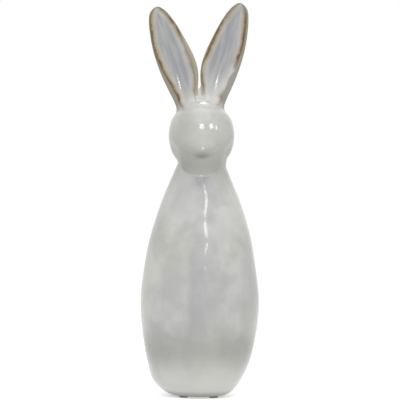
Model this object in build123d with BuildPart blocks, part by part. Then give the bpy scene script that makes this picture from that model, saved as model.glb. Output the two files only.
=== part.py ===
from build123d import *
import os
from math import cos, radians, sin, tan

# A tall rabbit ornament in glazed stoneware. It faces -Y and stands on the table at Z = 0.
# Body and head are hollow castings, the ears are pressed, and all four are luted with slip.
# Lengths are in millimetres and angles in degrees.

# Body casting
body_radius = 45.0
belly_height = 71.0
foot_radius = 20.0
body_wall = 4.5
floor_thickness = 6.0
foot_recess_radius = 12.0
foot_recess_depth = 1.5
pour_hole_radius = 10.0

# Joints of the body's outline as shares: radius of body_radius, height of the span named here
heel_shares = (0.622, 0.076)  # height from the foot to the belly
flank_shares = (0.873, 0.405)
shoulder_shares = (0.871, 0.431)  # height from the belly to the neck
chest_shares = (0.531, 0.864)

# Neck joint: a spigot on the body, a socket in the head, and a bed of slip between them
neck_height = 177.0
neck_forward = 2.5
neck_nod = 22.0
neck_block_depth = 16.0
neck_bore_radius = 8.0
spigot_radius = 12.5
spigot_height = 5.0
slip_thickness = 0.6

# Head casting
head_width = 50.0
head_face_depth = 32.0
head_nape_depth = 23.5
throat_depth = 15.0  # from the neck's seat down to the lowest section
head_height = 61.5
head_wall = 4.5
crown_thickness = 13.5
# Level sections from the throat to the crown, as shares: height, half width, face depth, nape depth
head_section_shares = (
    (0.00, 0.80, 0.70, 0.76),
    (0.14, 0.745, 0.66, 0.70),
    (0.25, 0.735, 0.62, 0.665),
    (0.345, 0.85, 0.82, 0.72),
    (0.46, 0.96, 1.00, 0.875),
    (0.58, 1.00, 0.975, 0.98),
    (0.70, 0.967, 0.93, 0.99),
    (0.82, 0.85, 0.82, 0.83),
    (0.90, 0.67, 0.685, 0.64),
    (0.96, 0.44, 0.50, 0.40),
    (1.00, 0.22, 0.30, 0.16),
)
hollow_section_shares = head_section_shares[:-2]  # the hollow stops below the crown

# Ears
ear_left_length = 76.0
ear_right_length = 77.5
ear_left_splay = 18.7
ear_right_splay = 14.9
ear_left_half_width = 14.5
ear_right_half_width = 15.5
ear_lean_back = 4.0
ear_back_depth = 7.0
ear_dish_depth = 4.0
ear_root_depth = 7.0
ear_set_forward = 2.5
ear_seat_depth = 6.0  # below the crown
ears_slit = 3.7  # between the ears where they come closest
ears_slit_offset = 2.5  # left of the middle
# Stations from root to tip, as shares: length, outer and inner half width, back depth, dish depth
ear_station_shares = (
    (0.00, 0.60, 0.50, 1.00, 0.45),
    (0.13, 0.68, 0.80, 0.95, 0.75),
    (0.31, 0.83, 1.09, 0.90, 1.00),
    (0.57, 0.87, 0.98, 0.78, 1.00),
    (0.785, 0.71, 0.75, 0.62, 0.85),
    (0.91, 0.54, 0.53, 0.48, 0.60),
)
ear_tip_shares = (
    (0.965, 0.375, 0.365, 0.34, 0.36),
    (0.99, 0.22, 0.21, 0.20, 0.18),
    (1.00, 0.07, 0.07, 0.06, 0.05),
)
widest_station = ear_station_shares[2]
rim_width_share = 0.24  # of the section's mean half width
rim_crest_share = 0.16
rim_edge_share = 0.45  # of the crest's height, where the rim turns into the dish

# Slip fillet round each ear's root; the two fillets part at a plane left of the middle
fillet_width = 2.2
fillet_height = 4.0
fillet_parting = 1.4
fillet_gap = 0.6

# Stick-on rubber feet under the foot ring
bumper_radius = 3.5
bumper_thickness = 1.2
bumper_edge = 0.4
bumper_circle_radius = (foot_recess_radius + foot_radius) / 2  # the middle of the ring
bumper_names = ("back_right", "back_left", "front_left", "front_right")
first_bumper_angle = 45.0

overrun = 1.0

foot_height = bumper_thickness
floor_top = foot_height + floor_thickness
cavity_top = neck_height - neck_block_depth
socket_radius = spigot_radius + slip_thickness
head_bottom = neck_height - throat_depth
head_top = head_bottom + head_height
head_ceiling = head_top - crown_thickness
ear_seat_height = head_top - ear_seat_depth
neck_plane = Plane(
    origin=(0, -neck_forward, neck_height),
    x_dir=(1, 0, 0),
    z_dir=(0, -sin(radians(neck_nod)), cos(radians(neck_nod))),
)
head_seat_plane = neck_plane.offset(slip_thickness)
spigot_top_plane = neck_plane.offset(spigot_height)


def turned(start, tangent, end):
    """Tangent at the end of the arc that leaves start along tangent and reaches end."""
    chord = (end - start).normalized()
    return chord * (2 * tangent.dot(chord)) - tangent


def body_joints():
    """Joints of the body's half outline as (point, upward tangent), from the foot to the chest."""

    def low(shares):
        return Vector(shares[0] * body_radius, foot_height + shares[1] * (belly_height - foot_height))

    def high(shares):
        return Vector(shares[0] * body_radius, belly_height + shares[1] * (neck_height - belly_height))

    belly, flank, heel = Vector(body_radius, belly_height), low(flank_shares), low(heel_shares)
    foot, shoulder, chest = Vector(foot_radius, foot_height), high(shoulder_shares), high(chest_shares)
    down = Vector(0, -1)
    flank_down = turned(belly, down, flank)
    heel_down = turned(flank, flank_down, heel)
    foot_down = turned(heel, heel_down, foot)
    shoulder_up = turned(belly, -down, shoulder)
    chest_up = turned(shoulder, shoulder_up, chest)
    return [
        (foot, -foot_down),
        (heel, -heel_down),
        (flank, -flank_down),
        (belly, -down),
        (shoulder, shoulder_up),
        (chest, chest_up),
    ]


def body_half_section(inset):
    """Half section of the body, moved inwards by inset: tangent arcs and a straight neck."""
    joints = [(point + Vector(-up.Y, up.X) * inset, up) for point, up in body_joints()]
    chest, up = joints[-1]
    neck_rise = neck_height + chest.X * tan(radians(neck_nod)) - chest.Y  # past the seat's high edge
    neck_end = chest + up * (neck_rise / up.Y)
    with BuildSketch(Plane.XZ) as section:
        with BuildLine():
            for (start, tangent), (end, _) in zip(joints, joints[1:]):
                TangentArc(start, end, tangent=tangent)
            foot = joints[0][0]
            Polyline(chest, neck_end, (0, neck_end.Y), (0, foot.Y), foot)
        make_face()
    return section.sketch


def head_blank(section_shares, inset):
    """Solid head through level sections, each two half ellipses, moved inwards by inset."""
    sections = []
    for height, width, face, nape in section_shares:
        with BuildSketch(Plane.XY.offset(head_bottom + height * head_height)) as section:
            half_width = width * head_width / 2 - inset
            with BuildLine():
                EllipticalCenterArc((0, 0), half_width, face * head_face_depth - inset, 180, arc_size=180)
                EllipticalCenterArc((0, 0), half_width, nape * head_nape_depth - inset, 0, arc_size=180)
            make_face()
        sections.append(section.sketch)
    with BuildPart() as blank:
        loft(sections)
    return blank.part


def ear_seat(half_width, length, splay, slit_side):
    """Plane of the right ear's seat: X points outwards, Y to the back and Z along the ear.

    It stands as far out as brings the ear's widest inner edge to its side of the slit.
    """
    reach = slip_thickness + ear_root_depth + widest_station[0] * length
    inner_edge = widest_station[2] * half_width * cos(radians(splay)) - reach * sin(radians(splay))
    offset_out = slit_side + ears_slit / 2 + inner_edge
    return Plane(
        origin=(offset_out, -ear_set_forward, ear_seat_height),
        x_dir=(cos(radians(splay)), 0, -sin(radians(splay))),
        z_dir=(sin(radians(splay)), sin(radians(ear_lean_back)), cos(radians(splay))),
    )


def ear_section(plane, half_width, station, margin):
    """Crescent across the ear: a round back, two rims and the dish between them, grown by margin."""
    _, outer_share, inner_share, back_share, dish_share = station
    outer, inner = outer_share * half_width, inner_share * half_width
    mean, middle = (outer + inner) / 2, (outer - inner) / 2
    rim, crest = rim_width_share * mean, rim_crest_share * mean
    edge = rim_edge_share * crest
    dish = dish_share * ear_dish_depth - crest
    with BuildSketch(plane) as section:
        with BuildLine():
            ThreePointArc((outer, 0), (middle, back_share * ear_back_depth), (-inner, 0))
            ThreePointArc((-inner, 0), (-inner + rim / 2, -crest), (-inner + rim, -edge))
            ThreePointArc((-inner + rim, -edge), (middle, dish), (outer - rim, -edge))
            ThreePointArc((outer - rim, -edge), (outer - rim / 2, -crest), (outer, 0))
        make_face()
        if margin > 0:
            offset(amount=margin)
    return section.sketch


def right_ear(seat, half_width, length):
    """Ear with a straight root for its socket, a smooth loft through its stations and a blunt tip."""
    foot = seat.offset(slip_thickness)
    start = foot.offset(ear_root_depth)

    def across(stations):
        return [ear_section(start.offset(s[0] * length), half_width, s, 0) for s in stations]

    with BuildPart() as ear:
        extrude(ear_section(foot, half_width, ear_station_shares[0], 0), amount=ear_root_depth)
        loft(across(ear_station_shares))
        loft(across(ear_station_shares[-1:] + ear_tip_shares), ruled=True)
    return ear.part


def right_socket(seat, half_width):
    """Space of the ear's root and its slip, from the seat out past the crown."""
    with BuildPart() as socket:
        extrude(ear_section(seat, half_width, ear_station_shares[0], slip_thickness), amount=head_height)
    return socket.part


def right_fillet_blank(seat, half_width, parting):
    """Tapered block of slip round the ear's root, cut off at the plane where the fillets part."""
    root, top = ear_station_shares[0], seat.offset(ear_root_depth + fillet_height)
    with BuildPart() as blank:
        loft(
            [
                ear_section(seat, half_width, root, slip_thickness + fillet_width),
                ear_section(top, half_width, root, slip_thickness),
            ],
            ruled=True,
        )
        split(bisect_by=Plane.YZ.offset(parting + fillet_gap / 2), keep=Keep.TOP)
    return blank.part


def on_left(part):
    """The same part on the other side of the middle plane."""
    with BuildPart() as other:
        mirror(part, about=Plane.YZ)
    return other.part


def write(part, name):
    """Labels a finished piece and writes it under its own name."""
    part.label = name
    export_step(part, f"parts/{name}.step")


os.makedirs("parts", exist_ok=True)

# Body: pear outside, even wall inside, a solid neck with a spigot, and a dry foot with its pour hole
with BuildPart() as body_hollow:
    revolve(body_half_section(body_wall), axis=Axis.Z)
    split(bisect_by=Plane.XY.offset(floor_top), keep=Keep.TOP)
    split(bisect_by=Plane.XY.offset(cavity_top), keep=Keep.BOTTOM)

# Upright passage for slip and air, from the body's hollow to the ceiling of the head's
with BuildPart() as neck_passage:
    with BuildSketch(Plane.XY.offset(cavity_top - overrun)):
        with Locations((0, -neck_forward)):
            Circle(neck_bore_radius)
    extrude(amount=head_ceiling - cavity_top + overrun)

with BuildPart() as body_shell:
    revolve(body_half_section(0), axis=Axis.Z)
    split(bisect_by=neck_plane, keep=Keep.BOTTOM)
    with BuildSketch(neck_plane):
        Circle(spigot_radius)
    extrude(amount=spigot_height)
    add([body_hollow.part, neck_passage.part], mode=Mode.SUBTRACT)
    with BuildSketch(Plane.XY.offset(foot_height)):
        Circle(foot_recess_radius)
    extrude(amount=foot_recess_depth, mode=Mode.SUBTRACT)
    with BuildSketch(Plane.XY.offset(foot_height)):
        Circle(pour_hole_radius)
    extrude(amount=floor_thickness + overrun, mode=Mode.SUBTRACT)
write(body_shell.part, "body_shell")

# Bed of slip at the neck: a washer between the seats and a sleeve round the spigot
outer_head = head_blank(head_section_shares, 0)
with BuildPart() as neck_slip:
    add(outer_head)
    split(bisect_by=neck_plane, keep=Keep.TOP)
    split(bisect_by=head_seat_plane, keep=Keep.BOTTOM)
    with BuildSketch(neck_plane):
        Circle(socket_radius)
    extrude(amount=spigot_height)
    with BuildSketch(neck_plane):
        Circle(spigot_radius)
    extrude(amount=spigot_height, mode=Mode.SUBTRACT)
write(neck_slip.part, "neck_slip")

# Ears: the left one, its socket and its fillet are made on the right and turned over
right_seat = ear_seat(ear_right_half_width, ear_right_length, ear_right_splay, -ears_slit_offset)
left_seat = ear_seat(ear_left_half_width, ear_left_length, ear_left_splay, ears_slit_offset)
ear_right = right_ear(right_seat, ear_right_half_width, ear_right_length)
ear_left = on_left(right_ear(left_seat, ear_left_half_width, ear_left_length))
write(ear_right, "ear_right")
write(ear_left, "ear_left")

# Head: a face with a soft muzzle, hollow down to its neck socket, with a socket for each ear in the crown
with BuildPart() as head_hollow:
    add(head_blank(hollow_section_shares, head_wall))
    split(bisect_by=spigot_top_plane.offset(head_wall), keep=Keep.TOP)
    split(bisect_by=Plane.XY.offset(head_ceiling), keep=Keep.BOTTOM)

with BuildPart() as head_shell:
    add(outer_head)
    split(bisect_by=head_seat_plane, keep=Keep.TOP)
    with BuildSketch(neck_plane):
        Circle(socket_radius)
    extrude(amount=spigot_height, mode=Mode.SUBTRACT)
    add([head_hollow.part, neck_passage.part], mode=Mode.SUBTRACT)
    add(right_socket(right_seat, ear_right_half_width), mode=Mode.SUBTRACT)
    add(on_left(right_socket(left_seat, ear_left_half_width)), mode=Mode.SUBTRACT)
    add([ear_right, ear_left], mode=Mode.SUBTRACT)
write(head_shell.part, "head_shell")

# Slip at the ears: it fills each socket round the root and spreads onto the crown as a fillet
with BuildPart() as ear_right_slip:
    add(right_fillet_blank(right_seat, ear_right_half_width, -fillet_parting))
    add([ear_right, ear_left, head_shell.part], mode=Mode.SUBTRACT)
write(ear_right_slip.part, "ear_right_slip")

with BuildPart() as ear_left_slip:
    add(on_left(right_fillet_blank(left_seat, ear_left_half_width, fillet_parting)))
    add([ear_right, ear_left, head_shell.part], mode=Mode.SUBTRACT)
write(ear_left_slip.part, "ear_left_slip")

# Rubber feet stuck under the ring, each with a rounded edge where it meets the table
bumper_places = PolarLocations(bumper_circle_radius, len(bumper_names), start_angle=first_bumper_angle)
for bumper_name, place in zip(bumper_names, bumper_places.locations):
    with BuildPart() as bumper:
        with BuildSketch(Plane.XY):
            with Locations(place.position):
                Circle(bumper_radius)
        extrude(amount=bumper_thickness)
        fillet(bumper.edges().group_by(Axis.Z)[0], radius=bumper_edge)
    write(bumper.part, f"rubber_foot_{bumper_name}")
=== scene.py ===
"""Looks of a tall rabbit ornament in glazed stoneware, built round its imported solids.

It faces -Y and stands at Z = 0. Shapes are worked out in millimetres and reach a mesh in metres.
"""

import bpy
import numpy as np
from mathutils import Matrix, Vector


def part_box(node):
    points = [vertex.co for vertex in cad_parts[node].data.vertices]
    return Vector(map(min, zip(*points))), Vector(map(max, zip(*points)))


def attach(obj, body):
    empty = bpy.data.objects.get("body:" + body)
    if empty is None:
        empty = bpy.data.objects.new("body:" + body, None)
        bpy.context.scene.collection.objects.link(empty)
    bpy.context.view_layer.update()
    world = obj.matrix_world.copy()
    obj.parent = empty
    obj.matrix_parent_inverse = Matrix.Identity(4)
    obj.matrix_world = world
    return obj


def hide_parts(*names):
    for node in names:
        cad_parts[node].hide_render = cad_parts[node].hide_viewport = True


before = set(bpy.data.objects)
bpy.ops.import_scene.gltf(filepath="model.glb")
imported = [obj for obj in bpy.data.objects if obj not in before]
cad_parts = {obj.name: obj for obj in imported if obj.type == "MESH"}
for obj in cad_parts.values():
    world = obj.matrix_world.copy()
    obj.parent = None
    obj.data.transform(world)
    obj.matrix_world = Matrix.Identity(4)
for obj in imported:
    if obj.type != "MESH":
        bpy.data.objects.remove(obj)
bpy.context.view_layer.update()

mm = 0.001


def box_mm(name):
    """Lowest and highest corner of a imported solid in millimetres."""
    return [np.array(corner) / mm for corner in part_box(name)]


# Body, with its outline as shares: radius of belly_radius, height from the foot to the neck
body_low, body_high = box_mm("body_shell")
belly_radius = body_high[0]
foot_height = body_low[2]
neck_height = 177.0
body_outline_shares = (
    (0.455, 0.0005),
    (0.530, 0.0095),
    (0.622, 0.030),
    (0.764, 0.0825),
    (0.881, 0.161),
    (0.962, 0.266),
    (1.000, 0.397),
    (0.980, 0.474),
    (0.938, 0.553),
    (0.871, 0.657),
    (0.763, 0.761),
    (0.620, 0.866),
    (0.489, 0.943),
    (0.392, 1.000),
    (0.278, 1.050),
)
body_wall = 4.5
floor_thickness = 6.0
foot_recess_radius = 12.0
foot_recess_depth = 1.5
foot_edge = 0.5
pour_hole_radius = 10.0
neck_block_depth = 16.0
neck_bore_radius = 8.0

# Hand smoothing of the body, which fades out between two depths under the outline
relief_depths = (1.0, 0.2)
heel_swell = 1.2  # lean of the heel to the left, and its shares: in the mean and from side to side
heel_swell_mean = 1.25
heel_swell_change = 0.75
heel_swell_height = 12.0
heel_swell_spread = 9.0
hip_swell = 0.5  # the same above the heel, at the left alone
hip_swell_height = 26.0
hip_swell_spread = 11.0
chest_rise = 1.7  # fuller neck in front: height, place up the body, spread up it and round it in radians
chest_height = 167.0
chest_spread = 12.0
chest_turn = 0.6
clay_waves = (  # height, waves round the body, millimetres up it per radian, phase
    (0.20, 2, 21.0, 0.6),
    (0.14, 3, -12.0, 2.1),
)
chest_waves = (  # the same, for the chest alone
    (0.21, 1, 2.4, 0.4),
    (0.06, 4, -4.5, 1.0),
    (0.06, 1, 1.3, 2.0),
)
chest_waves_bottom = (70.0, 110.0)
crest_shift = 3.4  # how far the chest's crest lies to the right, and the heights over which that sets in
crest_shift_bottom = (85.0, 115.0)
ridge_rise = 0.45  # low ridge down the chest: height, place, sway and its millimetres per radian, width
ridge_place = 4.0
ridge_sway = 0.9
ridge_sway_span = 4.5
ridge_width = 4.0
clay_waves_bottom = (4.0, 24.0)
clay_waves_top = (166.0, 158.0)

# Glaze runs and lap, and painted light and shade, on the body
front_depth = -12.0  # y from which a place counts as front in full
run_top = (-5.0, 121.0)  # run of glaze: x and z of its upper end, then its slant, width and lower end
run_slant = 0.08
run_width = 16.0
run_bottom = 28.0
run_fade_bottom = 25.0  # lengths over which it fades at its ends and at its left edge
run_fade_top = 12.0
run_edge = 3.5
run_sways = ((1.6, 13.0), (0.8, 5.3))  # sway and its millimetres per radian
belly_shade = (38.0, 13.0)  # height and spread
throat_shade = (168.0, 7.0)
# Painted shade under the chin, where the head overhangs the chest
pool_shade = (0.8, 165.5, 6.5, 9.5)  # place across, height, spread to the side, spread up
lap_height = 80.0  # lap of two dips: height at the middle, slope towards the front, width of its line
lap_slope = 0.86
lap_width = 1.1
lap_veil = (-9.0, 0.0, 0.5)  # fainter band under the line: where it starts, is full and ends
lap_breaks = (3, 1.2)  # how often the lap fades round the body, and the phase
# Painted bounce light from the floor on the heel: its spread up the body
heel_bounce_light = 20.0
foot_contact_shade = (7.0, 1.5)  # heights over which painted contact shade darkens the body towards the foot
body_shares = {"run": 0.44, "pool": 0.9, "lap": 0.12, "belly": 0.62, "throat": 0.3, "foot": 0.75}

# Head, with its level sections as shares: height, half width, face depth, nape depth
head_low, head_high = box_mm("head_shell")
head_half_width = head_high[0]
head_face_depth = -head_low[1]
head_nape_depth = head_high[1]
throat_depth = 15.0
head_bottom = neck_height - throat_depth
head_height = head_high[2] - head_bottom
head_section_shares = (
    (0.00, 0.80, 0.735, 0.76),
    (0.14, 0.715, 0.74, 0.70),
    (0.25, 0.71, 0.75, 0.665),
    (0.345, 0.85, 0.845, 0.73),
    (0.395, 0.912, 0.95, 0.80),
    (0.46, 0.96, 0.985, 0.875),
    (0.58, 1.00, 0.965, 0.98),
    (0.70, 0.967, 0.9125, 0.99),
    (0.82, 0.855, 0.805, 0.84),
    (0.90, 0.67, 0.685, 0.64),
    (0.96, 0.44, 0.50, 0.40),
    (1.00, 0.22, 0.30, 0.16),
    (1.01, 0.00, 0.00, 0.00),
)
head_wall = 4.5
head_ceiling_share = 0.78
muzzle_bumps = (  # rise, place across, height, spread to the side, spread up
    (0.4, 0.0, 187.0, 7.0, 4.0),
    (1.1, 1.6, 187.2, 1.6, 1.3),
    (-0.5, 0.8, 182.6, 4.5, 1.7),
)
jaw_sag = 2.0  # the jaw line hangs in the middle and rises to the sides
jaw_rise = 6.6
jaw_half_width = 11.5
jaw_height = 184.0
jaw_spread = 9.0
web_middle = -0.6  # the web of slip between the ears
web_rise = 10.5
web_spread = 4.5
web_front = (-4.4, -2.0)  # where its front face starts and ends
web_back = (7.0, 1.5)
lip_middle = 2.2  # the lip of slip in front of the ears
lip_rise = 1.6
lip_spread = 4.8
lip_front = (-15.9, -15.35)
lip_back = (-5.0, -15.0)

# Painted light and shade on the head
face_depth = -16.0  # y from which a place counts as face in full
lower_head_shade = (216.0, 194.0)  # heights between which it sets in
left_cheek_shade = (6.0, -16.0)  # the same across
chin_shade = (174.0, 10.0)  # height and spread
nose_shade = (0.8, 181.5, 3.4, 1.6)  # place across, height, spread to the side, spread up
fold_shade = (0.027, 15.0, 1.3)  # fold under the muzzle: rise per square of x, spread to the side, spread up
crown_painted_light = (211.0, 221.0)  # heights between which painted light on the crown sets in
head_shares = {"lower": 0.22, "cheek": 0.14, "chin": 0.5, "nose": 0.25, "fold": 0.25, "crown": 0.45}
# Painted shade on the front of the neck slip, under the head
neck_share = 0.42

# Ears, with stations as shares: length, outer and inner half width, back depth, dish depth
ear_back_depth = 7.0
ear_dish_depth = 4.0
ear_root_depth = 7.6
ear_lean_back = 4.0
ear_set_forward = 2.5
ear_seat_depth = 6.0
ears_slit = 2.4
ears_slit_offset = 2.3
ear_station_shares = (
    (-0.13, 0.60, 0.56, 1.00, 0.42),
    (0.00, 0.60, 0.64, 1.00, 0.42),
    (0.13, 0.70, 0.90, 0.95, 0.66),
    (0.27, 0.805, 1.10, 0.91, 1.00),
    (0.57, 0.86, 0.97, 0.78, 1.00),
    (0.785, 0.72, 0.71, 0.62, 0.85),
    (0.91, 0.55, 0.465, 0.46, 0.60),
    (0.97, 0.355, 0.265, 0.30, 0.30),
    (1.00, 0.00, 0.00, 0.00, 0.00),
)
widest_station = ear_station_shares[3]  # where the inner edge reaches furthest
rim_crest_share = 0.16  # of the section's mean half width
rim_crest_turn = 0.475  # sine of the angle round the section at which the rim is highest
groove_depth = 0.45  # shallow groove down each dish
groove_spread = 2.5

# For each ear: its shape, where it pools, and lists for the outer and the inner half. They give, by
# millimetres from the seat, how far in from the edge the glaze breaks into a line, and how brown that is.
ears = {
    "ear_left": {
        "piece": "left_ear",
        "side": -1,
        "half_width": 14.4,
        "length": 75.2,
        "splay": 18.2,
        "slit_side": ears_slit_offset,
        "groove_at": 1.5,
        "pool_from": (2.0, 24.0),
        "line_outer": ((0, 3.6), (8, 3.75), (16, 4.4), (20, 4.3), (32, 3.1), (44, 1.9), (56, 1.4)),
        "line_inner": ((18, 2.6), (34, 4.1), (40, 4.0), (50, 2.7), (60, 1.2)),
        "brown_outer": ((0, 1.0), (78, 1.0), (82, 0.5)),
        "brown_inner": ((4, 0.0), (9, 0.5), (50, 0.4), (62, 1.0), (78, 1.0), (82, 0.5)),
    },
    "ear_right": {
        "piece": "right_ear",
        "side": 1,
        "half_width": 14.6,
        "length": 77.4,
        "splay": 14.7,
        "slit_side": -ears_slit_offset,
        "groove_at": -2.6,
        "pool_from": (8.0, 36.0),
        "line_outer": ((0, 4.0), (8, 4.6), (14, 5.4), (22, 5.6), (29, 4.9), (36, 4.0), (56, 2.6)),
        "line_inner": ((16, 1.6), (24, 1.0), (38, 1.8), (60, 1.2)),
        "brown_outer": ((6, 0.5), (11, 0.6), (19, 0.0), (33, 0.0), (43, 1.0), (77, 1.0), (83, 0.3)),
        "brown_inner": ((4, 0.0), (9, 0.6), (30, 0.7), (40, 1.0), (77, 1.0), (83, 0.3)),
    },
}
half_blend = 0.2  # cosine at which the outer half has gone over into the inner one
line_limit = 0.5  # of the section's mean half width
back_stretch = 1.5  # how much faster the glaze changes over the back
inner_rim_fade = (13.0, 4.0)
pool_edge = (1.2, 6.0)
flow_apart = 40.0  # keeps the streaks of the two ears apart

# Fillets of slip: reach up the ear and out over the head, at the outer, inner, front and back sides
ear_fillet_up = (4.5, 3.0, 9.0, 5.0)
ear_fillet_out = (3.0, 1.5, 10.0, 5.0)
ears_parting = -1.7  # x at which the two fillets meet, and how far each stays short of it
ears_parting_gap = 0.3
neck_seam_between = (164.0, 188.0)
neck_fillet = 0.8
neck_collar = 4.2  # more at the right, where the slip stands up as a collar
neck_collar_spread = 35.0
neck_bead = 0.12
slip_sunk = 0.05  # how far the edges of the slip lie under the surfaces that they meet
slip_thickness = 2.0
bend_fullness = 0.62

# Stick-on rubber feet
rubber_feet = (
    "rubber_foot_front_left",
    "rubber_foot_front_right",
    "rubber_foot_back_left",
    "rubber_foot_back_right",
)
rubber_edge = 0.4

# Rows along each shape and columns round it
outline_rows, hollow_rows, body_columns = 230, 46, 224
crown_rows, face_rows, ceiling_rows, head_columns = 170, 190, 40, 224
crown_reach = 20.0  # millimetres from the pole with the closer rows
ear_rows, ear_columns = 220, 176
ear_fillet_rows, ear_fillet_columns = 40, 240
neck_fillet_rows, neck_fillet_columns = 26, 288
rubber_edge_rows, rubber_columns = 8, 48

# Patterns of the finishes, as millimetres across
cloud_size, tint_size, wander_size, peel_size = 25, 55, 7, 8
streak_size = (3.0, 26.0)  # across an ear and along it
line_wander = 3.2  # how far the brown line wanders
grit_size = 1.2
grain_size = 0.5

# Camera: a level view from the front with long glass
camera_distance = 1400.0
camera_height = 149.0
camera_side = -0.6
view_width = 304.4
camera_roll = 0.63

# Studio: soft light from all round, and lamps that stand round a point on the face
surround_light = 0.52
floor_glow = 0.52
floor_reach = 6000.0
lamp_aim = (0, -20, 195.0)
# Name, azimuth, elevation, distance, width, height, watts, what it lights, by diffuse light, by gloss
lamps = (
    ("pane_middle", 1, 35, 1000, 290, 235, 2.6, "face", True, True),
    ("pane_ears", 1, 33, 1000, 140, 175, 2.6, "ears", True, True),
    ("pane_fillets", 1, 34, 1000, 290, 270, 2.6, "fillets", True, False),
    ("pane_chest", 1, 34.5, 1000, 290, 360, 2.5, "body_and_floor", True, True),
    ("pane_low", 4, 19.5, 1000, 200, 110, 0.5, "body_and_floor", False, True),
    ("pane_right", 46, 32.5, 1000, 220, 185, 1.7, "face", False, True),
    ("pane_far_right", 67, 26.5, 1000, 80, 130, 0.5, "face", False, True),
    ("overhead", 10, 78, 1200, 1300, 1300, 4.5, None, True, True),
)


def smooth_path(knots, chord_columns=2):
    """Natural cubic spline through rows of knots, with chord length over the first columns as parameter.

    The bends (second derivatives) solve one three-term row per knot. With a and b the shares left and gone
    of a span of width h, the curve is a p + b q + ((a^3 - a) bend_p + (b^3 - b) bend_q) h^2 / 6.
    Returns the function of the parameter and the parameter at each knot.
    """
    knots = np.asarray(knots, float)
    steps = np.linalg.norm(np.diff(knots[:, :chord_columns], axis=0), axis=1)
    at = np.concatenate([[0.0], np.cumsum(steps)])
    inner = np.arange(1, len(at) - 1)
    rows = np.eye(len(at))
    rows[inner, inner - 1] = steps[:-1] / 6
    rows[inner, inner] = (steps[:-1] + steps[1:]) / 3
    rows[inner, inner + 1] = steps[1:] / 6
    turns = np.zeros_like(knots)
    turns[1:-1] = np.diff(np.diff(knots, axis=0) / steps[:, None], axis=0)
    bends = np.linalg.solve(rows, turns)

    def curve(t):
        t = np.asarray(t, float)
        span = np.clip(np.searchsorted(at, t, side="right") - 1, 0, len(steps) - 1)
        h = steps[span][..., None]
        b = (t - at[span])[..., None] / h
        a = 1 - b
        sag = (a**3 - a) * bends[span] + (b**3 - b) * bends[span + 1]
        return a * knots[span] + b * knots[span + 1] + sag * h * h / 6

    return curve, at


def over_the_pole(knots, odd_columns):
    """Knots that end at a pole, followed by two mirror images beyond it, so that the curve is level there."""
    mirrored = np.asarray(knots, float)[-2:-4:-1].copy()
    mirrored[:, odd_columns] *= -1
    return np.vstack([knots, mirrored])


def smooth_step(low, high, value):
    """0 below low, 1 above high and 3 t^2 - 2 t^3 between them. It falls where low is above high."""
    t = np.clip((value - low) / (high - low), 0, 1)
    return t * t * (3 - 2 * t)


def bell(value, middle, spread):
    """1 at the middle, and exp(-(distance / spread)^2) away from it."""
    return np.exp(-(((value - middle) / spread) ** 2))


def zero_between(low, high, rises):
    """Root of a function that goes from minus at low to plus at high, by halving, for whole arrays."""
    for _ in range(40):
        middle = (low + high) / 2
        above = rises(middle) > 0
        low, high = np.where(above, low, middle), np.where(above, middle, high)
    return (low + high) / 2


def angles(count):
    """Angles of a closed ring."""
    return np.arange(count) * (2 * np.pi / count)


def line(start, end, count):
    """Points from start to just before end on a straight line."""
    return np.linspace(start, end, count, endpoint=False)


def grid_piece(name, points, finishes, loop=False, values=None, sharp=None, bare_rows=None):
    """Closed piece from a grid of points in millimetres, with rows along the shape and columns round it.

    Columns close on themselves. Rows do too in a loop, and otherwise the first and the last row are poles:
    each becomes one vertex with a fan of triangles. The sign of the volume tells which way the faces turn.
    """
    rows, columns = points.shape[:2]
    if loop:
        index = np.arange(rows * columns).reshape(rows, columns)
        index = np.vstack([index, index[:1]])
    else:
        inner = 1 + np.arange((rows - 2) * columns).reshape(rows - 2, columns)
        index = np.vstack([np.zeros((1, columns), int), inner, np.full((1, columns), inner[-1, -1] + 1)])

    def per_vertex(grid):
        if loop:
            return grid.reshape(rows * columns, -1)
        between = grid[1:-1].reshape((rows - 2) * columns, -1)
        return np.vstack([grid[:1, 0], between, grid[-1:, 0]])

    vertices = per_vertex(points)
    following = np.roll(index, -1, axis=1)
    quads = np.stack([index[:-1], following[:-1], following[1:], index[1:]], axis=-1).reshape(-1, 4)
    a, b, c, d = (vertices[quads[:, corner]] for corner in range(4))
    volume = np.sum(a * np.cross(b, c)) + np.sum(a * np.cross(c, d))
    if volume < 0:
        quads = quads[:, ::-1]
    repeated = quads == np.roll(quads, -1, axis=1)
    triangles = quads[repeated.any(axis=1)]
    kept = ~repeated[repeated.any(axis=1)]
    faces = quads[~repeated.any(axis=1)].tolist() + triangles[kept].reshape(-1, 3).tolist()
    mesh = bpy.data.meshes.new(name)
    mesh.from_pydata((vertices * mm).tolist(), [], faces)
    mesh.polygons.foreach_set("use_smooth", np.ones(len(faces), bool))
    if sharp:
        mesh.set_sharp_from_angle(angle=np.radians(sharp))
    for label, grid in (values or {}).items():
        attribute = mesh.attributes.new(label, "FLOAT_VECTOR", "POINT")
        attribute.data.foreach_set("vector", per_vertex(grid).astype(np.float32).ravel())
    for finish in finishes:
        mesh.materials.append(finish)
    if bare_rows is not None:
        row_of_face = np.repeat(np.arange(rows), columns)
        mesh.polygons.foreach_set("material_index", bare_rows[row_of_face].astype(np.int32))
    piece = bpy.data.objects.new(name, mesh)
    bpy.context.scene.collection.objects.link(piece)
    return piece


def stands_for(piece, slot, *nodes):
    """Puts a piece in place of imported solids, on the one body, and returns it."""
    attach(piece, "root")
    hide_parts(*nodes)
    return piece


# Body outline as a function of height
body_knots = np.array(body_outline_shares) * (belly_radius, neck_height - foot_height) + (0, foot_height)
body_curve, body_at = smooth_path(body_knots)
body_table = body_curve(np.linspace(0, body_at[-1], 2000))


def body_radius(height):
    """Radius of the body's outside at a height."""
    return np.interp(height, body_table[:, 1], body_table[:, 0])


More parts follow.
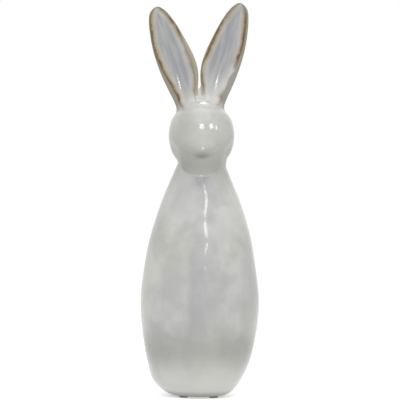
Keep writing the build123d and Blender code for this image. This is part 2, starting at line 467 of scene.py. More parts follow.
def body_reach(angle, height):
    """Distance of the body's outside from its axis: the outline, with a bell of fullness under the chin."""
    turned = (angle + np.pi) % (2 * np.pi) - np.pi
    fullness = np.exp(-((turned / chest_turn) ** 2) - ((height - chest_height) / chest_spread) ** 2)
    return body_radius(height) + chest_rise * fullness


def clay_relief(angle, height):
    """Low forms of hand smoothing: sines of angle and height, a swaying ridge, a crest off the middle."""
    def waves_of(rows):
        return sum(rise * np.sin(turns * angle + height / span + phase) for rise, turns, span, phase in rows)

    front = np.maximum(np.cos(angle), 0)
    waves = waves_of(clay_waves) + waves_of(chest_waves) * front**4 * smooth_step(*chest_waves_bottom, height)
    from_ridge = body_radius(height) * np.sin(angle) - ridge_place
    from_ridge = from_ridge - ridge_sway * np.sin(height / ridge_sway_span)
    waves = waves + ridge_rise * bell(from_ridge, 0, ridge_width) * (front > 0)
    waves = waves + crest_shift * np.sin(angle) * front**2 * smooth_step(*crest_shift_bottom, height)
    return waves * smooth_step(*clay_waves_bottom, height) * smooth_step(*clay_waves_top, height)


def body_points(loop):
    """Turns a closed loop of radius and height round Z, with the relief and the lean of heel and hip."""
    angle = angles(body_columns)[None, :]
    radius, height = loop[:, :1], loop[:, 1:]
    outside = smooth_step(*relief_depths, np.abs(body_radius(height) - radius))
    wavy = radius + outside * (body_reach(angle, height) - body_radius(height) + clay_relief(angle, height))
    lean = -heel_swell * bell(height, heel_swell_height, heel_swell_spread)
    lean = lean * (heel_swell_mean - heel_swell_change * np.sin(angle))
    left = np.maximum(-np.sin(angle), 0)
    lean = lean - hip_swell * bell(height, hip_swell_height, hip_swell_spread) * left**2
    return np.stack([wavy * np.sin(angle) + lean, -wavy * np.cos(angle), height + 0 * angle], axis=-1)


def body_tone(x, y, z):
    """Glaze runs and lap, and painted light and shade, as bells and soft steps of place.

    Bluish: a run of glaze down the front with a sharp left edge, painted shade under the chin and the lap of
    two dips.
    Paler: painted bounce light on the heel. Greyer: painted shade on the belly's underside, below the throat
    and in a line above the foot.
    """
    front = smooth_step(0, front_depth, y)
    from_run = x - run_top[0] - run_slant * (z - run_top[1])
    from_run = from_run + sum(sway * np.sin(z / span) for sway, span in run_sways)
    run = smooth_step(-run_edge, run_edge, from_run) * bell(from_run, 0, run_width)
    run *= smooth_step(run_bottom, run_bottom + run_fade_bottom, z)
    run *= smooth_step(run_top[1] + run_fade_top, run_top[1] - run_fade_top, z)
    # Painted shade under the chin, where the head overhangs the chest
    across, up, side, tall = pool_shade
    pool = bell(x, across, side) * bell(z, up, tall)
    from_lap = z - lap_height - lap_slope * y
    starts, full, ends = lap_veil
    veil = smooth_step(starts, full, from_lap) * smooth_step(ends, full, from_lap)
    breaks, phase = lap_breaks
    lap = (bell(from_lap, 0, lap_width) + veil / 2) * (1 + np.cos(breaks * np.arctan2(x, -y) + phase)) / 2
    bluish = front * (body_shares["run"] * run + body_shares["pool"] * pool + body_shares["lap"] * lap)
    # Painted bounce light from the floor, paler towards the foot
    paler = bell(z, 0, heel_bounce_light)
    # Painted shade: the belly's underside, below the throat, and a contact line above the foot
    greyer = body_shares["belly"] * bell(z, *belly_shade)
    greyer = greyer + body_shares["throat"] * front * bell(z, *throat_shade)
    greyer = greyer + body_shares["foot"] * smooth_step(*foot_contact_shade, z)
    return np.stack(np.broadcast_arrays(bluish, paler, greyer), axis=-1)


def make_body(glaze, clay):
    """Body: foot ring, outline, neck and bore, then the hollow's wall, its floor and the pour hole."""
    outline = body_curve(np.linspace(0, body_at[-1], outline_rows, endpoint=False))
    top = body_knots[-1]
    cavity_top = neck_height - neck_block_depth
    floor_top = foot_height + floor_thickness
    recess_top = foot_height + foot_recess_depth
    heights = np.linspace(cavity_top, floor_top + foot_edge, hollow_rows)
    hollow = np.stack([body_radius(heights) - body_wall, heights], axis=-1)
    foot_inner = (foot_recess_radius + foot_edge, foot_height)
    under = np.vstack([
        line((pour_hole_radius, recess_top), (foot_recess_radius, recess_top), 3),
        line((foot_recess_radius, recess_top), (foot_recess_radius, foot_height + foot_edge), 3),
        line((foot_recess_radius, foot_height + foot_edge), foot_inner, 2),
        line(foot_inner, tuple(outline[0]), 8),
    ])
    inside = np.vstack([
        line(tuple(top), (neck_bore_radius, top[1]), 4),
        line((neck_bore_radius, top[1]), (neck_bore_radius, cavity_top), 8),
        line((neck_bore_radius, cavity_top), tuple(hollow[0]), 6),
        hollow,
        line((hollow[-1, 0] - foot_edge, floor_top), (pour_hole_radius, floor_top), 6),
        line((pour_hole_radius, floor_top), (pour_hole_radius, recess_top), 6),
    ])
    loop = np.vstack([under, outline, inside])
    bare = np.ones(len(loop), bool)
    bare[len(under) : len(under) + len(outline)] = False
    points = body_points(loop)
    values = {"tone": body_tone(*np.moveaxis(points, -1, 0))}
    body = grid_piece("body", points, (glaze, clay), loop=True, values=values, sharp=50, bare_rows=bare)
    return stands_for(body, "body_glaze", "body_shell")


# Head sections as functions of the parameter up the head
head_sizes = (head_height, head_half_width, head_face_depth, head_nape_depth)
head_knots = np.array(head_section_shares) * head_sizes + (head_bottom, 0, 0, 0)
head_curve, head_at = smooth_path(over_the_pole(head_knots, [1, 2, 3]))
head_pole = head_at[len(head_knots) - 1]
head_widest = head_at[np.argmax(head_knots[:, 1])]


def web(x, y):
    """Height of the slip between the ears on the crown: a bell in x, upright in front, steep behind."""
    across = np.exp(-(((x - web_middle) / web_spread) ** 2) / 2)
    gone = np.clip((y - web_front[0]) / (web_front[1] - web_front[0]), 0, 1)
    return web_rise * across * (1 - (1 - gone) ** 2) * smooth_step(*web_back, y)


def lip(x, y):
    """Height of the lip of slip in front of the ears: a flat-topped bell in x, a step up, a slow way down."""
    across = np.exp(-(((x - lip_middle) / lip_spread) ** 4))
    return lip_rise * across * smooth_step(*lip_front, y) * smooth_step(*lip_back, y)


def muzzle(x, y, height):
    """How far muzzle and nose stand out of the face: bells in x and height, in front only."""
    bumps = (
        rise * np.exp(-(((x - place) / side) ** 2 + ((height - middle) / up) ** 2) / 2)
        for rise, place, middle, side, up in muzzle_bumps
    )
    return sum(bumps) * (y < 0)


def jaw_shift(x, y, height):
    """How far the jaw line is moved up: it hangs in the middle and levels out to the sides, in front only."""
    hang = jaw_rise * (1 - bell(x, 0, jaw_half_width)) - jaw_sag
    return hang * smooth_step(0, front_depth, y) * bell(height, jaw_height, jaw_spread)


def head_points(t, angle, inset=0.0):
    """Level section at t, half ellipses for face and nape, at an angle from the front to the right."""
    height, width, face, nape = np.moveaxis(head_curve(t), -1, 0)
    depth = np.where(np.cos(angle) > 0, face, nape)
    x = (width - inset) * np.sin(angle)
    y = -(depth - inset) * np.cos(angle)
    if inset:
        return x, y, height
    lifted = height + jaw_shift(x, y, height) + (web(x, y) + lip(x, y)) * (t > head_widest)
    return x, y - muzzle(x, y, height), lifted


def crown_height(x, y):
    """Height of the upper head over a point, without the lip: its level section, by halving, plus the web."""
    def outside(t):
        _, width, face, nape = np.moveaxis(head_curve(t), -1, 0)
        depth = np.maximum(np.where(y < 0, face, nape), 1e-6)
        return (x / np.maximum(width, 1e-6)) ** 2 + (y / depth) ** 2 - 1

    t = zero_between(np.full(x.shape, head_widest), np.full(x.shape, head_pole), outside)
    return head_curve(t)[..., 0] + web(x, y)


def unit(vectors):
    """Vectors of length 1 in the same directions."""
    return vectors / np.linalg.norm(vectors, axis=-1, keepdims=True)


def crown_normal(x, y, nudge=0.05):
    """Unit normal of the upper head over a point, from the heights a nudge away on each side."""
    slope_x = (crown_height(x + nudge, y) - crown_height(x - nudge, y)) / (2 * nudge)
    slope_y = (crown_height(x, y + nudge) - crown_height(x, y - nudge)) / (2 * nudge)
    return unit(np.stack([-slope_x, -slope_y, np.ones_like(x)], axis=-1))


def head_tone(x, y, z):
    """Painted light on the crown, and painted shade on the lower head, the left cheek, the chin and under the
    nose.

    The painted shade of the fold under the muzzle is a bell across a parabola in x.
    """
    across, up, side, tall = nose_shade
    nose = bell(x, across, side) * bell(z, up, tall)
    curve, side, tall = fold_shade
    fold = bell(x, across, side) * bell(z, up + curve * (x - across) ** 2, tall)
    chin = bell(z, *chin_shade)
    greyer = head_shares["chin"] * chin + head_shares["nose"] * nose + head_shares["fold"] * fold
    greyer = greyer * smooth_step(0, face_depth, y) + head_shares["lower"] * smooth_step(*lower_head_shade, z)
    greyer = greyer + head_shares["cheek"] * smooth_step(*left_cheek_shade, x)
    # Y: painted light on the crown; Z: painted shade
    return np.stack([0 * x, head_shares["crown"] * smooth_step(*crown_painted_light, z), greyer], axis=-1)


def make_head(glaze):
    """Head: outside from the crown's pole to the throat, then the hollow up to its ceiling's pole."""
    crown_edge = head_pole - crown_reach
    crown = np.linspace(head_pole, crown_edge, crown_rows, endpoint=False)
    t = np.concatenate([crown, np.linspace(crown_edge, 0, face_rows)])[:, None]
    angle = angles(head_columns)[None, :]
    outside = np.stack(np.broadcast_arrays(*head_points(t, angle)), axis=-1)
    t = np.linspace(0, head_ceiling_share * head_pole, ceiling_rows)[:, None]
    inside = np.stack(np.broadcast_arrays(*head_points(t, angle, head_wall)), axis=-1)
    middle = np.broadcast_to(inside[-1].mean(axis=0), inside[-1:].shape)
    points = np.vstack([outside, inside, middle])
    values = {"tone": head_tone(*np.moveaxis(points, -1, 0))}
    head = grid_piece("head", points, (glaze,), values=values, sharp=60)
    return stands_for(head, "body_glaze", "head_shell")


def ear_frame(ear):
    """Seat of an ear and its directions outwards, to the back and along, from its splay and the slit."""
    splay, lean = np.radians(ear["splay"]), np.radians(ear_lean_back)
    reach = ear_root_depth + widest_station[0] * ear["length"]
    inner_edge = widest_station[2] * ear["half_width"] * np.cos(splay) - reach * np.sin(splay)
    out = ear["slit_side"] + ears_slit / 2 + inner_edge
    side = np.array([ear["side"], 1, 1])
    seat = side * (out, -ear_set_forward, head_high[2] - ear_seat_depth)
    along = np.array([np.sin(splay), np.sin(lean), np.cos(splay)])
    along /= np.linalg.norm(along)
    outwards = np.array([np.cos(splay), 0, -np.sin(splay)])
    back = np.cross(along, outwards)
    return seat, side * outwards, side * back, side * along


def ear_path(ear):
    """Spline of an ear's sizes along it: distance from the seat, mean half width, middle, back, dish."""
    share, outer, inner, back, dish = np.array(ear_station_shares).T
    half = ear["half_width"]
    sizes = (
        ear_root_depth + share * ear["length"],
        (outer + inner) / 2 * half,
        (outer - inner) / 2 * half,
        back * ear_back_depth,
        dish * ear_dish_depth,
    )
    curve, at = smooth_path(over_the_pole(np.stack(sizes, axis=-1), [1, 3, 4]))
    return curve, at[len(share) - 1]


def ear_points(ear, t, angle):
    """Section at t, at an angle from the outer edge over the back to the inner edge and along the front.

    Across, it is middle + mean cos. The back is a half ellipse. The front rises from the edge to the rim's
    crest as a quarter sine of w = |sin| and then sinks into the dish as u^2 (2 - u), u from 0 to 1,
    with a bell for the groove.
    """
    seat, outwards, back, along = ear_frame(ear)
    curve, _ = ear_path(ear)
    distance, mean, middle, back_depth, dish = np.moveaxis(curve(t), -1, 0)
    w = np.abs(np.sin(angle))
    rise = np.sin(np.pi / 2 * np.clip(w / rim_crest_turn, 0, 1))
    u = np.clip((w - rim_crest_turn) / (1 - rim_crest_turn), 0, 1)
    across = middle + mean * np.cos(angle)
    groove = groove_depth * np.exp(-(((across - ear["groove_at"]) / groove_spread) ** 2) / 2)
    front = -rim_crest_share * mean * rise + (dish + groove * dish / ear_dish_depth) * u * u * (2 - u)
    deep = np.where(np.sin(angle) > 0, back_depth * w, front)
    return seat + across[..., None] * outwards + deep[..., None] * back + distance[..., None] * along


def inner_half(angle):
    """0 on an ear's outer half and 1 on its inner half, with a soft step between them."""
    return smooth_step(half_blend, -half_blend, np.cos(angle))


def by_half(ear, key, distance, angle):
    """Value read along an ear from its outer and its inner list, and blended across it."""
    outer, inner = (np.interp(distance, *zip(*ear[key + half])) for half in ("_outer", "_inner"))
    return outer + inner_half(angle) * (inner - outer)


def ear_values(ear, t, angle):
    """What the glaze reads on an ear, as three attributes.

    glaze: distance in from the brown line, strength of the rim, depth of pooling. On the back the
    distance is below 0 and goes on round the edge. flow: distances across and along, and the inner half.
    brown: how brown the line is.
    """
    curve, _ = ear_path(ear)
    distance, mean, middle, *_ = np.moveaxis(curve(t), -1, 0)
    in_from_edge = mean * (1 - np.abs(np.cos(angle)))
    front = np.sin(angle) < 0
    line_in = np.minimum(by_half(ear, "line", distance, angle), line_limit * mean)
    from_line = np.where(front, in_from_edge - line_in, -line_in - in_from_edge * back_stretch)
    strength = 1 - inner_half(angle) * smooth_step(*inner_rim_fade, distance)
    pooled = smooth_step(*pool_edge, from_line) * front * smooth_step(*ear["pool_from"], distance)
    across = ear["side"] * (flow_apart + middle + mean * np.cos(angle))
    brown = by_half(ear, "brown", distance, angle)
    return {
        "glaze": np.stack([from_line, strength, pooled], axis=-1),
        "flow": np.stack([across, distance, inner_half(angle)], axis=-1),
        "brown": np.stack([brown, 0 * brown, 0 * brown], axis=-1),
    }


def ear_normal(ear, t, angle, nudge=0.01):
    """Unit normal of an ear, from the points a nudge away along and round it, pointing out of its middle."""
    along = ear_points(ear, t + nudge, angle) - ear_points(ear, t - nudge, angle)
    round_it = ear_points(ear, t, angle + nudge) - ear_points(ear, t, angle - nudge)
    normal = unit(np.cross(round_it, along))
    points = ear_points(ear, t, angle)
    return normal * np.sign(np.sum(normal * (points - points.mean(axis=0)), axis=-1).mean())


def make_ear(name, glaze):
    """Ear from its tip's pole to the flat end of its root inside the head."""
    ear = ears[name]
    _, tip = ear_path(ear)
    t, angle = np.meshgrid(np.linspace(tip, 0, ear_rows), angles(ear_columns), indexing="ij")
    points = ear_points(ear, t, angle)
    end = np.broadcast_to(points[-1].mean(axis=0), points[-1:].shape)
    values = {label: np.vstack([grid, grid[-1:]]) for label, grid in ear_values(ear, t, angle).items()}
    piece = grid_piece(ear["piece"], np.vstack([points, end]), (glaze,), values=values, sharp=60)
    return stands_for(piece, "ear_glaze", name)


def bend_between(start, corner, end, rows, end_normal=None):
    """Cubic Bezier from start to end whose two handles reach towards the corner, as rows of points.

    Where a normal is given at the end, the handle there is laid flat on the surface.
    """
    s = np.linspace(0, 1, rows)[:, None, None]
    first, last = bend_fullness * (corner - start), bend_fullness * (corner - end)
    if end_normal is not None:
        last = last - np.sum(last * end_normal, axis=-1, keepdims=True) * end_normal
    first, last = start + first, end + last
    return (1 - s) ** 3 * start + 3 * s * (1 - s) ** 2 * first + 3 * s * s * (1 - s) * last + s**3 * end


def by_side(angle, sizes):
    """Blend of four sizes, outer, inner, front and back, by the squares of cosine and sine."""
    outer, inner, front, back = sizes
    lateral = np.where(np.cos(angle) > 0, outer, inner) * np.cos(angle) ** 2
    return lateral + np.where(np.sin(angle) > 0, back, front) * np.sin(angle) ** 2


def make_ear_slip(name, glaze):
    """Fillet from a ring on the ear to a ring on the crown, bent towards the line where the two meet.

    That line lies in the lower third of the ear. The ring inside it closes the fillet.
    """
    ear = ears[name]
    angle = angles(ear_fillet_columns)
    _, tip = ear_path(ear)

    def above_crown(t):
        x, y, z = np.moveaxis(ear_points(ear, t, angle), -1, 0)
        return z - crown_height(x, y)

    meeting = zero_between(np.zeros_like(angle), np.full_like(angle, tip / 3), above_crown)
    corner = ear_points(ear, meeting, angle)
    on_ear = meeting + by_side(angle, ear_fillet_up)
    top = ear_points(ear, on_ear, angle)
    normal = crown_normal(*corner.T[:2])
    ring = np.roll(corner, -3, axis=0) - np.roll(corner, 3, axis=0)
    outwards = unit(np.cross(ring, normal))
    from_middle = corner - corner.mean(axis=0)
    outwards *= np.sign(np.sum(outwards * from_middle, axis=-1).mean())
    foot = corner + by_side(angle, ear_fillet_out)[:, None] * outwards
    limit = ears_parting - ears_parting_gap * ear["side"]
    foot[:, 0] = np.where(ear["side"] * (foot[:, 0] - limit) < 0, limit, foot[:, 0])
    foot[:, 2] = crown_height(foot[:, 0], foot[:, 1])
    foot_normal = crown_normal(*foot.T[:2])
    skin = bend_between(top, corner, foot, ear_fillet_rows, foot_normal)
    inside = corner - slip_thickness * (unit(from_middle) + normal)
    s = np.linspace(0, 1, len(skin))[:, None, None]
    skin = skin - slip_sunk * ((1 - s) ** 4 * ear_normal(ear, on_ear, angle) + s**4 * foot_normal)
    skin[..., 2] += lip(skin[..., 0], skin[..., 1])
    points = np.vstack([skin, inside[None]])
    fade = np.linspace(1, 0, len(points))[:, None]
    at_top = ear_values(ear, on_ear, angle)
    values = {label: np.broadcast_to(grid, points.shape).copy() for label, grid in at_top.items()}
    values["glaze"][..., 1:] *= fade[..., None]
    # Painted light of the crown, carried onto the fillets
    paler = head_shares["crown"] * (1 - fade) * smooth_step(*crown_painted_light, points[..., 2])
    values["tone"] = np.stack([0 * paler, paler, 0 * paler], axis=-1)
    piece = grid_piece(ear["piece"] + "_fillet", points, (glaze,), loop=True, values=values, sharp=35)
    return stands_for(piece, "body_glaze", name + "_slip")


def lower_head(angle, height):
    """x and y of the head's outside below its widest section, at an angle and height, by halving."""
    def above(t):
        return head_points(t, angle)[2] - height

    t = zero_between(np.zeros_like(height), np.full_like(height, head_widest), above)
    x, y, _ = head_points(t, angle)
    return x, y


def make_neck_slip(glaze):
    """Fillet along the line where head and body cross, with a low bead, and a collar at the right."""
    section = angles(neck_fillet_columns)

    def body_inside(height):
        x, y = lower_head(section, height)
        return np.hypot(x, y) - body_reach(np.arctan2(x, -y), height)

    seam = zero_between(*(np.full_like(section, height) for height in neck_seam_between), body_inside)

    def on_head(height):
        x, y = lower_head(section, height)
        return np.stack([x, y, height], axis=-1)

    def on_body(height):
        x, y = lower_head(section, seam)
        share = body_reach(np.arctan2(x, -y), height) / np.hypot(x, y)
        return np.stack([x * share, y * share, height], axis=-1)

    turn = np.degrees(np.abs((section - np.pi / 2 + np.pi) % (2 * np.pi) - np.pi))
    reach = neck_fillet + neck_collar * bell(turn, 0, neck_collar_spread)
    corner = on_body(seam)
    skin = bend_between(on_head(seam + reach), corner, on_body(seam - reach), neck_fillet_rows)
    outwards = unit(corner * (1, 1, 0))
    s = np.linspace(0, 1, len(skin))[:, None, None]
    skin = skin + outwards * (neck_bead * np.sin(np.pi * s) ** 4 - slip_sunk * np.cos(np.pi * s) ** 8)
    points = np.vstack([skin, (corner - slip_thickness * outwards)[None]])
    # Painted shade on the front of the neck, under the head
    greyer = neck_share * smooth_step(0, face_depth, points[..., 1])
    tone = np.stack([0 * greyer, 0 * greyer, greyer], axis=-1)
    piece = grid_piece("neck_slip_bead", points, (glaze,), loop=True, values={"tone": tone}, sharp=35)
    return stands_for(piece, "body_glaze", "neck_slip")


def make_rubber_foot(name, rubber):
    """Round foot turned from a profile: a flat top, a slanting side, a rounded edge and a flat face."""
    low, high = box_mm(name)
    bottom, top = low[2], high[2]
    radius = (high[0] - low[0]) / 2
    centre = (low + high) / 2
    flat_radius = radius - rubber_edge
    turn = np.linspace(0, np.pi / 2, rubber_edge_rows)
    rounded = (flat_radius + rubber_edge * np.cos(turn), bottom + rubber_edge - rubber_edge * np.sin(turn))
    profile = np.vstack([
        [(0, top)],
        line((radius / 2, top), (radius, top), 3),
        np.stack(rounded, axis=-1),
        line((flat_radius, bottom), (0, bottom), 6)[1:],
        [(0, bottom)],
    ])
    angle = angles(rubber_columns)[None, :]
    x = centre[0] + profile[:, :1] * np.sin(angle)
    y = centre[1] - profile[:, :1] * np.cos(angle)
    points = np.stack([x, y, profile[:, 1:] + 0 * angle], axis=-1)
    piece = grid_piece(name + "_bumper", points, (rubber,), sharp=50)
    return stands_for(piece, "rubber", name)


def colour(code):
    """Linear colour of an sRGB hex code."""
    channels = np.array([int(code[i : i + 2], 16) for i in (0, 2, 4)]) / 255
    linear = np.where(channels <= 0.04045, channels / 12.92, ((channels + 0.055) / 1.055) ** 2.4)
    return (*linear.tolist(), 1.0)


def node(tree, kind, settings=None, **sockets):
    """Adds a node with its settings. A socket value is an output to link or a constant; _3 means input 3."""
    made = tree.nodes.new("ShaderNode" + kind)
    for key, value in (settings or {}).items():
        setattr(made, key, value)
    for key, value in sockets.items():
        socket = made.inputs[int(key[1:]) if key.startswith("_") else key.replace("_", " ")]
        if isinstance(value, bpy.types.NodeSocket):
            tree.links.new(value, socket)
        else:
            socket.default_value = value
    return made


# Settings of nodes. A mix of colours takes its share at input 0 and the colours at 6 and 7, and gives
# output 2. A soft range takes its limits at inputs 1 and 2 and what it gives at these at 3 and 4.
colours = {"data_type": "RGBA"}
soft = {"interpolation_type": "SMOOTHSTEP"}
product = {"operation": "MULTIPLY"}


def new_material(name):
    """Empty material with a Principled shader; returns the material, its tree and the shader."""
    material = bpy.data.materials.new(name)
    material.use_nodes = True
    return material, material.node_tree, material.node_tree.nodes["Principled BSDF"]


def reactive_glaze():
    """Glossy white glaze on stoneware, dipped and fired: cloudy greys where it lies thicker or thinner,
    blue-grey where it pools in the ears, and iron brown with a tan edge where it runs thin off the rims."""
    material, tree, shader = new_material("reactive_stoneware_glaze")
    place = node(tree, "TexCoord").outputs["Object"]
    noises = ((cloud_size, 4.0, 0.55), (tint_size, 1.0, 0.5), (wander_size, 3.0, 0.5), (peel_size, 0.0, 0.5))
    cloud, tint, wander, peel = (
        node(
            tree, "TexNoise", None, Vector=place, Scale=1 / (size * mm), Detail=detail, Roughness=rough
        ).outputs[0]
        for size, detail, rough in noises
    )
    tone, values, flow, brown_share = (
        node(tree, "Attribute", {"attribute_name": label}).outputs["Vector"]
        for label in ("tone", "glaze", "flow", "brown")
    )
    tone = node(tree, "SeparateXYZ", None, Vector=tone).outputs
    from_line, strength, pooled = node(tree, "SeparateXYZ", None, Vector=values).outputs
    inner = node(tree, "SeparateXYZ", None, Vector=flow).outputs["Z"]
    brown_share = node(tree, "SeparateXYZ", None, Vector=brown_share).outputs["X"]

    # Clouds of thicker and thinner glaze, then the tone attribute: paler Y is painted light, bluish X is
    # glaze runs, the lap and painted shade under the chin, greyer Z is painted shade
    cloudy = node(tree, "MapRange", soft, Value=cloud, _1=0.35, _2=0.65).outputs[0]
    grey = node(tree, "Mix", colours, _0=cloudy, _6=colour("BBBBB7"), _7=colour("DCDCD7")).outputs[2]
    tinted = node(tree, "MapRange", soft, Value=tint, _1=0.4, _2=0.62).outputs[0]
    cool = node(tree, "Mix", colours, _0=tinted, _6=colour("C9C9CC"), _7=colour("D2D1C8")).outputs[2]
    base = node(tree, "Mix", colours, _0=0.45, _6=grey, _7=cool).outputs[2]
    # ECECE9 paints light, 9FA0A5 is glaze blue that also paints shade under the chin, A3A39D paints shade
    for axis, code in (("Y", "ECECE9"), ("X", "9FA0A5"), ("Z", "A3A39D")):
        base = node(tree, "Mix", colours, _0=tone[axis], _6=base, _7=colour(code)).outputs[2]

    # Streaks in the pools of the ears
    across, along = streak_size
    streaked = node(tree, "Mapping", None, Vector=flow, Scale=(1 / across, 1 / along, 1.0)).outputs[0]
    streak = node(tree, "TexNoise", None, Vector=streaked, Scale=1.0, Detail=2.0).outputs[0]
    streak = node(tree, "MapRange", soft, Value=streak, _1=0.35, _2=0.68).outputs[0]
    dish = node(tree, "Mix", colours, _0=streak, _6=colour("9FA1A7"), _7=colour("B2B2B1")).outputs[2]
    base = node(tree, "Mix", colours, _0=pooled, _6=base, _7=dish).outputs[2]

    # Rims, by the distance from a wandering line: a tan halo, the band outside it and the brown line itself
    moved = {"operation": "MULTIPLY_ADD"}
    shifted = node(tree, "Math", moved, _0=wander, _1=line_wander, _2=from_line).outputs[0]
    shifted = node(tree, "Math", {"operation": "SUBTRACT"}, _0=shifted, _1=line_wander / 2).outputs[0]
    outside = node(tree, "MapRange", soft, Value=shifted, _1=-9.0, _2=-5.0).outputs[0]
    outside = node(tree, "Math", product, _0=outside, _1=strength).outputs[0]
    halo = node(tree, "MapRange", soft, Value=shifted, _1=0.8, _2=4.2, _3=1.0, _4=0.0).outputs[0]
    for share in (outside, brown_share):
        halo = node(tree, "Math", product, _0=halo, _1=share).outputs[0]
    base = node(tree, "Mix", colours, _0=halo, _6=base, _7=colour("AC9D82")).outputs[2]
    # On the outer half the band's grey is partly painted shade of the ear's side face, and partly the glaze
    # breaking at the rim
    band = node(tree, "MapRange", soft, Value=shifted, _1=-1.2, _2=0.2, _3=0.85, _4=0.0).outputs[0]
    band = node(tree, "Math", product, _0=band, _1=outside).outputs[0]
    band_colour = node(tree, "Mix", colours, _0=inner, _6=colour("959289"), _7=colour("AAA28E")).outputs[2]
    base = node(tree, "Mix", colours, _0=band, _6=base, _7=band_colour).outputs[2]
    crest = node(tree, "MapRange", soft, Value=shifted, _1=0.2, _2=1.4, _3=1.0, _4=0.0).outputs[0]
    crest_out = node(tree, "MapRange", soft, Value=shifted, _1=-1.6, _2=-0.5).outputs[0]
    for share in (crest_out, strength, brown_share):
        crest = node(tree, "Math", product, _0=crest, _1=share).outputs[0]
    mottle = node(tree, "MapRange", soft, Value=wander, _1=0.35, _2=0.65).outputs[0]
    brown = node(tree, "Mix", colours, _0=mottle, _6=colour("624F33"), _7=colour("846F49")).outputs[2]
    base = node(tree, "Mix", colours, _0=crest, _6=base, _7=brown).outputs[2]

    bump = node(tree, "Bump", None, Strength=0.12, Distance=0.1 * mm, Height=peel).outputs[0]
    tree.links.new(base, shader.inputs["Base Color"])
    tree.links.new(bump, shader.inputs["Normal"])
    shader.inputs["Roughness"].default_value = 0.14
    shader.inputs["IOR"].default_value = 1.5
    return material


def dry_clay():
    """Unglazed stoneware, wiped clean for the kiln shelf: a matt buff ground with darker grit."""
    material, tree, shader = new_material("unglazed_stoneware")
    place = node(tree, "TexCoord").outputs["Object"]
    grit = node(tree, "TexNoise", None, Vector=place, Scale=1 / (grit_size * mm), Detail=4.0).outputs[0]
    clean = node(tree, "MapRange", soft, Value=grit, _1=0.42, _2=0.62).outputs[0]
    base = node(tree, "Mix", colours, _0=clean, _6=colour("A8977C"), _7=colour("C8B99D")).outputs[2]
    bump = node(tree, "Bump", None, Strength=0.5, Distance=0.15 * mm, Height=grit).outputs[0]
    tree.links.new(base, shader.inputs["Base Color"])
    tree.links.new(bump, shader.inputs["Normal"])
    shader.inputs["Roughness"].default_value = 0.85
    shader.inputs["IOR"].default_value = 1.5
    return material


def moulded_rubber():
    """Pale grey rubber from a mould: nearly matt, with a fine grain."""
    material, tree, shader = new_material("moulded_rubber")
    place = node(tree, "TexCoord").outputs["Object"]
    grain = node(tree, "TexNoise", None, Vector=place, Scale=1 / (grain_size * mm), Detail=2.0).outputs[0]
    base = node(tree, "Mix", colours, _0=grain, _6=colour("BFBDB6"), _7=colour("D2D0C9")).outputs[2]
    bump = node(tree, "Bump", None, Strength=0.3, Distance=0.05 * mm, Height=grain).outputs[0]
    tree.links.new(base, shader.inputs["Base Color"])
    tree.links.new(bump, shader.inputs["Normal"])
    shader.inputs["Roughness"].default_value = 0.6
    shader.inputs["IOR"].default_value = 1.52
    return material


def seen_directly(tree, hidden, seen):
    """A strength: seen for rays from the camera, from gloss and through glass, and hidden for all others."""
    path = node(tree, "LightPath").outputs
    largest = {"operation": "MAXIMUM"}
    direct = node(tree, "Math", largest, _0=path["Is Camera Ray"], _1=path["Is Glossy Ray"]).outputs[0]
    direct = node(tree, "Math", largest, _0=direct, _1=path["Is Transmission Ray"]).outputs[0]
    return node(tree, "MapRange", soft, Value=direct, _1=0, _2=1, _3=hidden, _4=seen).outputs[0]


def make_floor():
    """Pale paper, four corners wide apart, that keeps the shadow and shows near white to the camera."""
    corners = np.array([(-1, -1, 0), (1, -1, 0), (1, 1, 0), (-1, 1, 0)]) * floor_reach * mm
    mesh = bpy.data.meshes.new("floor")
    mesh.from_pydata(corners.tolist(), [], [(0, 1, 2, 3)])
    floor = bpy.data.objects.new("floor", mesh)
    bpy.context.scene.collection.objects.link(floor)
    material, tree, shader = new_material("white_paper")
    shader.inputs["Base Color"].default_value = colour("F6F6F4")
    shader.inputs["Roughness"].default_value = 0.9
    shader.inputs["Emission Color"].default_value = (1, 1, 1, 1)
    tree.links.new(seen_directly(tree, 0.0, floor_glow), shader.inputs["Emission Strength"])
    mesh.materials.append(material)
    return floor


def make_surround():
    """White world that lights softly and looks white."""
    world = bpy.data.worlds.new("studio")
    bpy.context.scene.world = world
    world.use_nodes = True
    background = world.node_tree.nodes["Background"]
    background.inputs["Color"].default_value = (1, 1, 1, 1)
    strength = seen_directly(world.node_tree, surround_light, 1.0)
    world.node_tree.links.new(strength, background.inputs["Strength"])


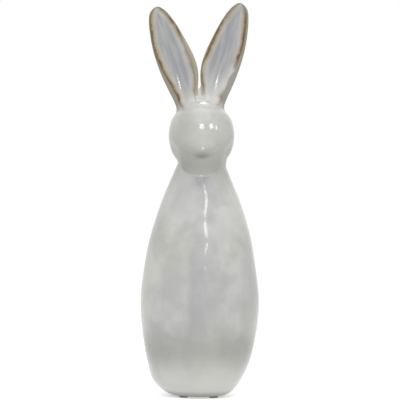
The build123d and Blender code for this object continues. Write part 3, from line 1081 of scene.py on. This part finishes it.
def make_lamps(lit):
    """Window panes high in front, each for the pieces that it lights, and a soft lamp overhead for all."""
    groups = {}
    for name, pieces in lit.items():
        groups[name] = bpy.data.collections.new(name)
        for piece in pieces:
            groups[name].objects.link(piece)
    for name, azimuth, elevation, distance, width, height, watts, group, diffuse, glossy in lamps:
        a, e = np.radians(azimuth), np.radians(elevation)
        towards = np.array([np.sin(a) * np.cos(e), -np.cos(a) * np.cos(e), np.sin(e)])
        lamp = bpy.data.lights.new(name, "AREA")
        lamp.shape = "RECTANGLE"
        lamp.size, lamp.size_y = width * mm, height * mm
        lamp.energy = watts
        holder = bpy.data.objects.new(name, lamp)
        bpy.context.scene.collection.objects.link(holder)
        if group:
            holder.light_linking.receiver_collection = groups[group]
        holder.visible_diffuse, holder.visible_glossy = diffuse, glossy
        holder.location = Vector((lamp_aim + towards * distance) * mm)
        holder.rotation_euler = Vector(towards).to_track_quat("Z", "Y").to_euler()


def make_camera():
    """Long lens, level with the middle of the figure, rolled a little as the photograph is."""
    lens = bpy.data.cameras.new("camera")
    lens.sensor_width = 36.0
    lens.lens = lens.sensor_width * camera_distance / view_width
    lens.clip_start, lens.clip_end = 0.05, 50.0
    camera = bpy.data.objects.new("camera", lens)
    bpy.context.scene.collection.objects.link(camera)
    stand = Matrix.Translation(Vector((camera_side, -camera_distance, camera_height)) * mm)
    look = Matrix.Rotation(np.pi / 2, 4, "X") @ Matrix.Rotation(np.radians(camera_roll), 4, "Z")
    camera.matrix_world = stand @ look
    bpy.context.scene.camera = camera


glaze = reactive_glaze()
body_pieces = [make_body(glaze, dry_clay())]
head = make_head(glaze)
ear_pieces = []
fillets = []
for ear_name in ears:
    ear_pieces.append(make_ear(ear_name, glaze))
    fillets.append(make_ear_slip(ear_name, glaze))
body_pieces.append(make_neck_slip(glaze))
rubber = moulded_rubber()
for foot_name in rubber_feet:
    body_pieces.append(make_rubber_foot(foot_name, rubber))
make_surround()
floor = make_floor()
make_lamps({"face": [head], "ears": ear_pieces, "fillets": fillets, "body_and_floor": [*body_pieces, floor]})
make_camera()
bpy.context.scene.view_settings.view_transform = "Standard"
